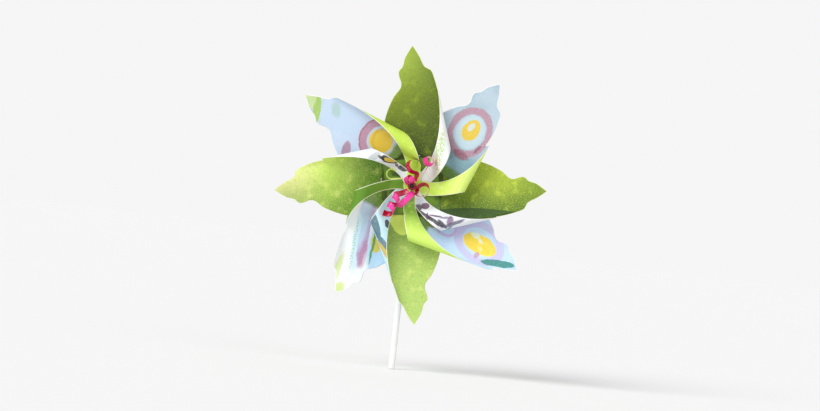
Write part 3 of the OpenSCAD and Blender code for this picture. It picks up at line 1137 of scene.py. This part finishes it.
            # cut walls by the hub take the hub's painted shade in place of the bare edge
            painted = (place[:, 1] < self.painted_s) & (place[:, 0] < self.painted_r)
            wall_slots += [np.where(painted, HUB_SLOT, EDGE_SLOT), np.full(len(neck), HUB_SLOT)]
            rims.append(grid[0, : self.neck_cols + 1])
            start += len(pq)
        hub_points, hub_quads, hole = self.hub_rings(np.concatenate(rims), np.concatenate(upper), start)
        quads.append(hub_quads)
        slots.append(HUB_SLOT)
        sink = np.array([0, self.thick, 0])
        upper, lower = np.concatenate([*upper, hub_points]), np.concatenate([*lower, hub_points + sink])
        count = len(upper)
        loop = np.concatenate(edges)
        ahead = np.roll(loop, -1)
        wall = np.stack([loop, ahead, ahead + count, loop + count], -1)
        bare = np.concatenate(wall_slots) == EDGE_SLOT
        bore_ahead = np.roll(hole, -1)
        bore = np.stack([bore_ahead, hole, hole + count, bore_ahead + count], -1)
        rim = np.concatenate(holes)
        pinned = np.concatenate([rim, rim[:, ::-1] + count], 1)
        back_slots = [slot + FIRST_BACK_SLOT for slot in slots]
        closing_slots = [EDGE_SLOT, HUB_SLOT, EDGE_SLOT, EDGE_SLOT]
        faces = quads + [q[:, ::-1] + count for q in quads] + [wall[bare], wall[~bare], bore, pinned]
        used = np.unique(np.concatenate(faces))
        number = np.zeros(2 * count, int)
        number[used] = np.arange(len(used))
        faces = [number[f] for f in faces]
        materials = [*self.fronts, self.hub, *self.backs, self.backs[0], self.edge]
        shell = np.concatenate([upper, lower])[used]
        piece = new_piece(self.name, shell, faces, slots + back_slots + closing_slots, materials)
        hub_flat = np.zeros((len(hub_points), 3))
        hub_edge = np.full(len(hub_points), self.far_from_edge)
        store(piece, "flat", np.tile(np.concatenate([*flat, hub_flat]), (2, 1))[used])
        store(piece, "to_edge", np.tile(np.concatenate([*to_edge, hub_edge]), 2)[used])
        return piece

    def cut_hole(self, index: np.ndarray, body: np.ndarray, pin: float) -> tuple[np.ndarray, np.ndarray]:
        """Leaves the pin's hole out of a vane's grid.

        An edge of the hole's cells is on its rim where no other cell of the hole has it.

        Args:
            index: Vertex numbers of the grid.
            body: Its lengths across and along the fold.
            pin: Length across the fold at which the pin stands.

        Returns:
            The quads that stay, and the rim's edges.
        """
        middle = body[:-1, :-1] + body[1:, :-1] + body[:-1, 1:] + body[1:, 1:]
        quads = grid_quads(index)
        gone = (self.open_cells(body, pin) & (middle[..., 0] / 4 > pin - 3)).ravel()
        runs = np.concatenate([quads[gone][:, [k, (k + 1) % 4]] for k in range(4)])
        size = index.max() + 1
        return quads[~gone], runs[~np.isin(runs @ [size, 1], runs @ [1, size])]

    def hub_rings(
        self, rim: np.ndarray, upper: np.ndarray, start: int
    ) -> tuple[np.ndarray, np.ndarray, np.ndarray]:
        """Rings of the hub: straight lines from each rim point to the hole's edge at the same angle.

        Args:
            rim: Vertex numbers round the hub's rim.
            upper: Places of the vanes' front vertices.
            start: The first free vertex number.

        Returns:
            The new places, the quads, and the vertex numbers round the hole.
        """
        outer = upper[rim]
        angle = np.arctan2(outer[:, 2] - HUB_HEIGHT, outer[:, 0])
        depth = -(self.base + self.thick / 2)
        across, up = self.hole_r * np.cos(angle), HUB_HEIGHT + self.hole_r * np.sin(angle)
        inner = np.stack([across, np.full(len(rim), depth), up], -1)
        share = np.linspace(0, 1, self.hub_rows + 1)[1:, None, None]
        rings = outer * (1 - share) + inner * share
        numbers = start + np.arange(self.hub_rows * len(rim)).reshape(self.hub_rows, -1)
        index = np.concatenate([rim[None], numbers])
        closed = np.concatenate([index, index[:, :1]], 1)
        return rings.reshape(-1, 3), grid_quads(closed)[:, ::-1], index[-1]

    def edge_distance(self, pq: np.ndarray, loop: np.ndarray) -> np.ndarray:
        """Distance from each point of the flat pattern to the cut edge, the least over its segments.

        Args:
            pq: Points of the pattern.
            loop: Numbers of the points along the edge, in order.

        Returns:
            One distance for each point.
        """
        a, b = pq[loop[:-1]], pq[loop[1:]]
        run = b - a
        size = np.maximum((run**2).sum(-1), 1e-9)
        best = np.full(len(pq), np.inf)
        for block in np.array_split(np.arange(len(pq)), 16):
            off = pq[block, None] - a
            share = np.clip((off * run).sum(-1) / size, 0, 1)
            best[block] = np.linalg.norm(off - share[..., None] * run, axis=-1).min(1)
        return best


# ---------------------------------------------------------------- ribbons


@dataclass(frozen=True)
class Ribbon:
    """A curled ribbon that leaves the knot and winds round an axis with a growing radius.

    Places are [right, forward, up] in millimetres from the pin at the stick's middle, and angles
    are in degrees. lead is the share of the length that leads out of the knot, and cone tilts the
    width from the axis.
    """

    node: str
    start: tuple[float, float, float]
    centre: tuple[float, float, float]
    axis: tuple[float, float, float]
    radius: float
    first: float
    turns: float
    advance: float
    lead: float
    width: float
    thick: float = 0.25
    cone: float = 0.0
    growth: float = 0.16
    steps: int = 260
    across: int = 6

    def line(self, t: np.ndarray) -> np.ndarray:
        """The centre line: a helix whose radius grows, blended from the knot by a smooth step.

        Args:
            t: Shares of the length.

        Returns:
            Places, n by 3.
        """
        axis = np.array(self.axis) / np.linalg.norm(self.axis)
        side = np.cross(axis, (0, 0.2, 1))
        side /= np.linalg.norm(side)
        other = np.cross(axis, side)
        a = np.radians(self.first + 360 * self.turns * t)[:, None]
        u = np.minimum(t / self.lead, 1)
        k = (u * u * (3 - 2 * u))[:, None]
        r = self.radius * (1 - self.growth * (1 - t))[:, None]
        helix = np.array(self.centre) + axis * (self.advance * abs(self.turns) * t)[:, None]
        return (1 - k) * np.array(self.start) + k * (helix + r * (side * np.cos(a) + other * np.sin(a)))

    def build(self, outer: bpy.types.Material, inner: bpy.types.Material) -> bpy.types.Object:
        """Builds the ribbon as a closed strip: width along the winding's axis, squared to the line.

        Args:
            outer: Finish of the face away from the axis.
            inner: Finish of the other face and the edges.

        Returns:
            The ribbon.
        """
        t = np.linspace(0, 1, self.steps + 1)
        c = self.line(t)
        run = np.gradient(c, axis=0)
        run /= np.linalg.norm(run, axis=1, keepdims=True)
        axis = np.array(self.axis) / np.linalg.norm(self.axis)
        wide = axis - run * (run @ axis)[:, None]
        wide /= np.linalg.norm(wide, axis=1, keepdims=True)
        out = np.cross(run, wide)
        tilt = math.radians(self.cone)
        wide, out = wide * math.cos(tilt) + out * math.sin(tilt), out * math.cos(tilt) - wide * math.sin(tilt)
        place = np.linspace(-0.5, 0.5, self.across + 1)[None, :, None] * self.width
        face = c[:, None] + wide[:, None] * place
        lift = out[:, None] * self.thick / 2
        both = np.stack([face + lift, face - lift])
        points = both * np.array([1, -1, 1]) + np.array([0, 0, HUB_HEIGHT])
        index = np.arange(both[..., 0].size).reshape(both.shape[:3])
        top, low = index
        ends = [np.stack([top[:, 0], low[:, 0]], 1), np.stack([low[:, -1], top[:, -1]], 1)]
        caps = [np.stack([low[0], top[0]]), np.stack([top[-1], low[-1]])]
        faces = [
            grid_quads(top),
            grid_quads(low)[:, ::-1],
            *[grid_quads(e)[:, ::-1] for e in ends],
            *[grid_quads(e) for e in caps],
        ]
        slots = [0, 1, 1, 1, 1, 1]
        piece = new_piece(self.node + "_curl", points.reshape(-1, 3), faces, slots, [outer, inner])
        turn_outwards(piece)
        return piece


def turn_outwards(piece: bpy.types.Object) -> None:
    """Makes a closed piece's faces point outwards, reversing all of them if its volume is negative.

    Args:
        piece: The piece, closed and wound one way.
    """
    mesh = piece.data
    mesh.calc_loop_triangles()
    corner = np.empty(len(mesh.vertices) * 3)
    mesh.vertices.foreach_get("co", corner)
    tri = np.empty(len(mesh.loop_triangles) * 3, np.int32)
    mesh.loop_triangles.foreach_get("vertices", tri)
    a, b, c = corner.reshape(-1, 3)[tri.reshape(-1, 3)].transpose(1, 0, 2)
    if (a * np.cross(b, c)).sum() < 0:
        mesh.flip_normals()


# ---------------------------------------------------------------- round pieces


@dataclass(frozen=True)
class Turned:
    """A piece turned about an axis: a closed profile [radius, along] carried round it."""

    name: str
    profile: np.ndarray
    sides: int = 96

    def build(self, place: Matrix, material: bpy.types.Material) -> bpy.types.Object:
        """Carries the profile round: each point goes to radius times the cosine and sine of the turn.

        Args:
            place: Puts the piece's own Z axis where it belongs, in millimetres.
            material: Its finish.

        Returns:
            The piece.
        """
        turn = np.linspace(0, 2 * math.pi, self.sides, endpoint=False)[:, None]
        r, along = self.profile.T
        local = np.stack([r * np.cos(turn), r * np.sin(turn), along + 0 * turn], -1).reshape(-1, 3)
        m = np.array(place)
        points = local @ m[:3, :3].T + m[:3, 3]
        index = np.arange(self.sides * len(r)).reshape(self.sides, -1)
        closed = np.concatenate([index, index[:1]])
        closed = np.concatenate([closed, closed[:, :1]], 1)
        piece = new_piece(self.name, points, [grid_quads(closed)], [0], [material])
        turn_outwards(piece)
        return piece


def on_pin(near: float) -> Matrix:
    """Puts a piece's own Z axis along the pin, its origin at that distance in front of the stick's middle."""
    return Matrix.Translation((0, -near, HUB_HEIGHT)) @ Matrix.Rotation(math.radians(90), 4, "X")


def bead_profile(outer: float, bore: float, length: float, round_r: float) -> np.ndarray:
    """A bead's closed profile: straight bore, and quarter rounds from its ends to the outside.

    Args:
        outer: Outside radius.
        bore: Radius of the bore.
        length: Length along the axis.
        round_r: Radius of the rounded edges.

    Returns:
        Rows of [radius, along].
    """
    a = np.linspace(0, math.pi / 2, 9)
    far = np.stack([outer - round_r + round_r * np.sin(a), length - round_r + round_r * np.cos(a)], -1)
    near = np.stack([outer - round_r + round_r * np.cos(a), round_r - round_r * np.sin(a)], -1)
    inside = np.stack([np.full(4, bore), np.linspace(0.0, length, 4)], -1)
    return np.concatenate([inside, far, near])


@dataclass
class PaperStick:
    """The stick: paper rolled tight, with the wrap's seam winding slowly round it."""

    radius: float = 3.0
    length: float = 197.0
    step: float = 0.16
    seam_pitch: float = 88.0
    sides: int = 120
    rows: int = 320

    def build(self, material: bpy.types.Material) -> bpy.types.Object:
        """Builds the stick as a closed tube.

        The radius falls by a step over one turn and comes back at the seam within a few degrees.
        The seam's angle rises with the height over its pitch. The ends close in rolled rings.

        Args:
            material: Its finish.

        Returns:
            The stick.
        """
        straight = np.linspace(0.4, self.length - 0.4, self.rows)
        height = np.concatenate([[0.0, 0.05], straight, [self.length - 0.05, self.length]])
        turn = np.linspace(0, 1, self.sides, endpoint=False)
        phase = (turn[None] - height[:, None] / self.seam_pitch + 0.3) % 1.0
        fall = np.where(phase > 0.96, (1 - phase) / 0.04, phase / 0.96)
        soft = np.array([0.12, 0.03] + [0.0] * self.rows + [0.03, 0.12])[:, None]
        r = self.radius - self.step * fall - soft
        angle = 2 * np.pi * turn
        wall = np.stack([r * np.cos(angle), r * np.sin(angle), height[:, None] + 0 * r], -1)
        share = np.linspace(1, 0.16, 15)[1:, None, None]
        dip = np.where(np.arange(14) % 2 == 0, 0.12, 0.0)[:, None]
        foot = wall[0] * [1, 1, 0] * share
        foot[..., 2] = dip
        top = wall[-1] * [1, 1, 0] * share
        top[..., 2] = self.length - dip
        points = np.concatenate([foot[::-1], wall, top])
        index = np.arange(points[..., 0].size).reshape(points.shape[:2])
        closed = np.concatenate([index, index[:, :1]], 1)
        faces = [grid_quads(closed)[:, ::-1], index[:1], index[-1:, ::-1]]
        piece = new_piece("paper_stick", points.reshape(-1, 3), faces, [0, 0, 0], [material])
        turn_outwards(piece)
        return piece


# ---------------------------------------------------------------- the studio


@dataclass(frozen=True)
class Studio:
    """Pale floor, soft lights and the camera."""

    distance: float = 2.6
    frame_width: float = 0.7462
    roll: float = 6.5
    aim: tuple[float, float] = (0.0002, 0.1492)
    sky: float = 0.52
    backdrop: float = 0.92
    floor_half: float = 9000.0
    floor_drop: float = 0.6

    def floor(self) -> None:
        """Lays a large pale floor just under the stick's foot."""
        t = np.linspace(-1, 1, 9)
        x, y = np.meshgrid(t, t, indexing="ij")
        corners = [x * self.floor_half, y * self.floor_half, 0 * x - self.floor_drop]
        points = np.stack(corners, -1).reshape(-1, 3)
        paint = Painter("studio_floor", (252, 252, 252), Where.OBJECT, 0.9)
        paint.shader.inputs["Specular IOR Level"].default_value = 0.0
        faces = grid_quads(np.arange(x.size).reshape(x.shape))[:, ::-1]
        new_piece("studio_floor", points, [faces], [0], [paint.done()])

    def lamp(self, name: str, towards: tuple[float, float, float], softness: float, power: float) -> None:
        """Hangs a soft, far lamp.

        Args:
            name: The lamp's name.
            towards: Direction from the wheel to the lamp.
            softness: The lamp's apparent width in degrees.
            power: Light that falls on a surface square to it, as a share of full white.
        """
        light = bpy.data.lights.new(name, "SUN")
        light.angle, light.energy = math.radians(softness), math.pi * power
        lamp = bpy.data.objects.new(name, light)
        bpy.context.scene.collection.objects.link(lamp)
        lamp.location = towards
        lamp.rotation_euler = Vector(towards).to_track_quat("Z", "Y").to_euler()

    def camera(self) -> None:
        """Sets the camera level in front of the wheel, rolled so that the stick leans."""
        data = bpy.data.cameras.new("camera")
        data.sensor_width = 36.0
        data.lens = 36.0 * self.distance / self.frame_width
        data.clip_end = 40
        camera = bpy.data.objects.new("camera", data)
        bpy.context.scene.collection.objects.link(camera)
        camera.location = (self.aim[0], -self.distance, self.aim[1])
        upright = Matrix.Rotation(math.radians(90), 4, "X")
        camera.rotation_euler = (upright @ Matrix.Rotation(math.radians(self.roll), 4, "Z")).to_euler()
        bpy.context.scene.camera = camera

    def set_up(self) -> None:
        """Sets floor, lamps, sky and camera."""
        self.floor()
        self.camera()
        self.lamp("key_lamp", (-0.5, -0.62, 0.6), 35, 0.62)
        self.lamp("fill_lamp", (0.7, -0.6, 0.4), 60, 0.14)
        world = bpy.data.worlds.new("studio")
        world.use_nodes = True
        nodes, links = world.node_tree.nodes, world.node_tree.links
        seen = nodes.new("ShaderNodeLightPath")
        mix = nodes.new("ShaderNodeMapRange")
        mix.inputs["To Min"].default_value, mix.inputs["To Max"].default_value = self.sky, self.backdrop
        links.new(seen.outputs["Is Camera Ray"], mix.inputs["Value"])
        links.new(mix.outputs["Result"], nodes["Background"].inputs["Strength"])
        nodes["Background"].inputs["Color"].default_value = (1, 1, 1, 1)
        bpy.context.scene.world = world
        bpy.context.scene.view_settings.view_transform = "Standard"


# ---------------------------------------------------------------- the pinwheel


GREEN_VANES = (
    Vane(96.1, 12.5, 41, 7.4, 1.02, 0, 88, 8, 5, 0.5),
    Vane(3.9, 16, 45.5, 7, 0.98, 2, 78, 5, 0, 0.3),
    Vane(-83, 19, 46, 6.6, 1.01, 4, 90, 5, 5),
    Vane(-172, 10, 40.5, 7.4, 1, 6, 80, 6, 8),
)
PRINT_VANES = (
    Vane(55.4, 13, 44.5, 7, 0.98, 1, 72, 8, 0),
    Vane(-32.6, 19, 47.5, 6.6, 0.98, 3, 82, 5, 2),
    Vane(-119.5, 19, 47.5, 6.6, 0.95, 5, 62, 5, 7),
    Vane(145.8, 13, 39.5, 7.6, 1.02, 7, 84, 8, 7, 0.5),
)
TIP_LEFT = [
    [66, 23.5],
    [74, 20.5],
    [82, 16.5],
    [88, 11.6],
    [93, 10.6],
    [98, 12.4],
    [103, 12.6],
    [107, 9.3],
    [114, 7.2],
    [119, 4.2],
    [125, 0],
]
TIP_RIGHT = [[89, 25.4], [98, 21.5], [104, 17.8], [107, 11.6], [115, 7], [121, 3], [125, 0]]
GREEN_LEFT = np.array([[28, 28], [45, 26.5], [58, 25.5], *TIP_LEFT], float)
PRINT_LEFT = np.array([[28, 7], [34, 10], [44, 18], [52, 23.5], [58, 25.5], *TIP_LEFT], float)
LEAF_RIGHT = np.array([[28, 27], [60, 28], [80, 27], *TIP_RIGHT], float)
WIDE = 5.5
RIBBONS = (
    Ribbon(
        node="ribbon_top_ring",
        start=(2.3, 18.7, 4.3),
        centre=(-1, 21.8, 17.4),
        axis=(0.5, 1, 0.42),
        radius=6.2,
        first=328,
        turns=1.15,
        advance=1.6,
        lead=0.32,
        width=WIDE,
        cone=-16,
    ),
    Ribbon(
        node="ribbon_ringlet",
        start=(3.9, 19, 4.8),
        centre=(11.5, 24.5, 23.2),
        axis=(0.5, 0.8, 0.45),
        radius=4.6,
        first=96,
        turns=-1.3,
        advance=3.2,
        lead=0.32,
        width=WIDE,
        cone=12,
    ),
    Ribbon(
        node="ribbon_thin_loop",
        start=(-3, 18.5, 3.7),
        centre=(-19.6, 19.6, 8.4),
        axis=(0.1, 1, 0.15),
        radius=4.7,
        first=320,
        turns=1,
        advance=0.4,
        lead=0.32,
        width=WIDE / 3,
        cone=40,
    ),
    Ribbon(
        node="ribbon_left_loop",
        start=(-3.6, 20.8, 1.6),
        centre=(-5.4, 27.6, 3.4),
        axis=(0.72, 0.35, 0.6),
        radius=4.1,
        first=72,
        turns=1.35,
        advance=5.2,
        lead=0.32,
        width=WIDE * 0.8,
    ),
    Ribbon(
        node="ribbon_right_ring",
        start=(5.1, 20, -1.8),
        centre=(10.4, 21.6, -3.6),
        axis=(-0.42, 1, 0.45),
        radius=6.8,
        first=16,
        turns=1.35,
        advance=1.6,
        lead=0.32,
        width=WIDE * 0.8,
        cone=22,
    ),
    Ribbon(
        node="ribbon_tail",
        start=(2, 19.4, -5.3),
        centre=(-1.5, 18.9, -12.1),
        axis=(0.92, -0.07, -0.3),
        radius=10.7,
        first=227,
        turns=-0.33,
        advance=-21,
        lead=0.32,
        width=WIDE,
    ),
    Ribbon(
        node="ribbon_corkscrew",
        start=(-2.9, 20.8, -4.4),
        centre=(-11.4, 24.6, -8.6),
        axis=(-0.37, 0.42, -0.9),
        radius=4.1,
        first=88,
        turns=2.3,
        advance=9.8,
        lead=0.16,
        width=WIDE,
    ),
)


@dataclass(frozen=True)
class Knot:
    """The knot: a ring of ribbon wraps round the pin, in millimetres.

    near is how far its middle stands in front of the stick's middle, tube is the ring's thickness
    as a radius, ring its own radius, wraps how often the tube swells in a turn, and groove how
    deep it narrows between wraps.
    """

    near: float
    tube: float
    ring: float = 2.6
    wraps: int = 7
    groove: float = 0.32
    around: int = 168
    sides: int = 40

    def build(self, material: bpy.types.Material) -> bpy.types.Object:
        """Builds the knot.

        The tube's radius is cut by a share of the squared cosine of a phase that also turns with
        the tube, so the wraps lie at a slant.

        Args:
            material: Its finish.

        Returns:
            The knot.
        """
        turns = [np.linspace(0, 2 * np.pi, n, endpoint=False) for n in (self.around, self.sides)]
        round_ring, round_tube = np.meshgrid(*turns, indexing="ij")
        slant = np.cos(self.wraps / 2 * round_ring + round_tube) ** 2
        small = self.tube - self.groove * slant * (0.6 + 0.4 * np.cos(round_tube))
        far = self.ring + small * np.cos(round_tube)
        across, up = far * np.cos(round_ring), HUB_HEIGHT + far * np.sin(round_ring)
        points = np.stack([across, -self.near - small * np.sin(round_tube), up], -1)
        index = np.arange(self.around * self.sides).reshape(self.around, self.sides)
        closed = np.concatenate([index, index[:1]])
        closed = np.concatenate([closed, closed[:, :1]], 1)
        piece = new_piece("ribbon_wraps", points.reshape(-1, 3), [grid_quads(closed)], [0], [material])
        turn_outwards(piece)
        return piece


@dataclass
class Wheel:
    """The turning part: both sheets, the front bead, the knot and the ribbons."""

    finishes: Finishes
    green_depth: float = 9.8
    print_depth: float = 10.4
    stack_front: float = 14.8
    gap: float = 0.1
    bead_radius: float = 2.3
    bead_length: float = 2.0
    bead_round: float = 0.5
    knot_tube: float = 1.7

    def build(self) -> None:
        """Builds the wheel's pieces and puts them on the wheel's body."""
        f = self.finishes
        green = PaperSheet(
            "green_paper",
            GREEN_VANES,
            GREEN_LEFT,
            LEAF_RIGHT,
            self.green_depth,
            f.green,
            f.flaps,
            f.green[0],
            f.edge,
        )
        printed = PaperSheet(
            "print_paper",
            PRINT_VANES,
            PRINT_LEFT,
            LEAF_RIGHT,
            self.print_depth,
            f.prints,
            f.limes,
            f.hub,
            f.edge,
        )
        self.hang(green.build(), "green_sheet")
        self.hang(printed.build(), "print_sheet")
        faces = {
            "ribbon_top_ring": (f.crimson, f.ribbon_lime, "ribbon_crimson"),
            "ribbon_ringlet": (f.ribbon_cream, f.pink, "ribbon_pink"),
            "ribbon_thin_loop": (f.ribbon_lime, f.ribbon_lime, "ribbon_lime"),
            "ribbon_left_loop": (f.pink, f.crimson, "ribbon_pink"),
            "ribbon_right_ring": (f.ribbon_cream, f.crimson, "ribbon_crimson"),
            "ribbon_tail": (f.crimson, f.pink, "ribbon_crimson"),
            "ribbon_corkscrew": (f.pink, f.crimson, "ribbon_pink"),
        }
        for ribbon in RIBBONS:
            outer, inner, slot = faces[ribbon.node]
            self.hang(ribbon.build(outer, inner), ribbon.node)
        profile = bead_profile(self.bead_radius, BEAD_BORE, self.bead_length, self.bead_round)
        bead = Turned("front_bead_round", profile)
        self.hang(bead.build(on_pin(self.stack_front + self.gap), f.bead), "front_bead")
        behind_knot = self.stack_front + 2 * self.gap + self.bead_length
        knot = Knot(near=behind_knot + self.knot_tube, tube=self.knot_tube)
        self.hang(knot.build(f.crimson), "ribbon_knot")

    def hang(self, piece: bpy.types.Object, node: str) -> None:
        """Puts a piece on the wheel in place of its CAD node and reports it.

        Args:
            piece: The piece, in place.
            node: The CAD node it stands for.
        """
        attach(piece, "wheel")
        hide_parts(node)
        log.info("%s stands for %s: %d faces", piece.name, node, len(piece.data.polygons))


@dataclass
class Stand:
    """What holds the wheel: the stick, the pin with its head and cap, and the bead that turns on it."""

    finishes: Finishes
    bead_near: float = 3.4
    bead_radius: float = 4.0
    bead_length: float = 6.0
    bead_round: float = 1.6

    def build(self) -> None:
        """Builds the stick and the bead, and dresses the pin's CAD nodes."""
        f = self.finishes
        stick = PaperStick().build(f.stick)
        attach(stick, "stand")
        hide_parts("stick")
        profile = bead_profile(self.bead_radius, BEAD_BORE, self.bead_length, self.bead_round)
        bead = Turned("spacer_bead_round", profile).build(on_pin(self.bead_near), f.bead)
        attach(bead, "bead")
        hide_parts("spacer_bead")
        for node, material in (("pin_shaft", f.pin), ("pin_head", f.black), ("pin_cap", f.white)):
            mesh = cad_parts[node].data
            mesh.materials.clear()
            mesh.materials.append(material)
            mesh.polygons.foreach_set("use_smooth", np.ones(len(mesh.polygons), bool))
            log.info("%s dressed in %s", node, material.name)


def main() -> None:
    """Builds the pinwheel in order."""
    logging.basicConfig(level=logging.INFO, format="%(name)s: %(message)s")
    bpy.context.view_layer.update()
    finishes = Finishes()
    Stand(finishes).build()
    Wheel(finishes).build()
    Studio().set_up()


if __name__ == "__main__":
    main()
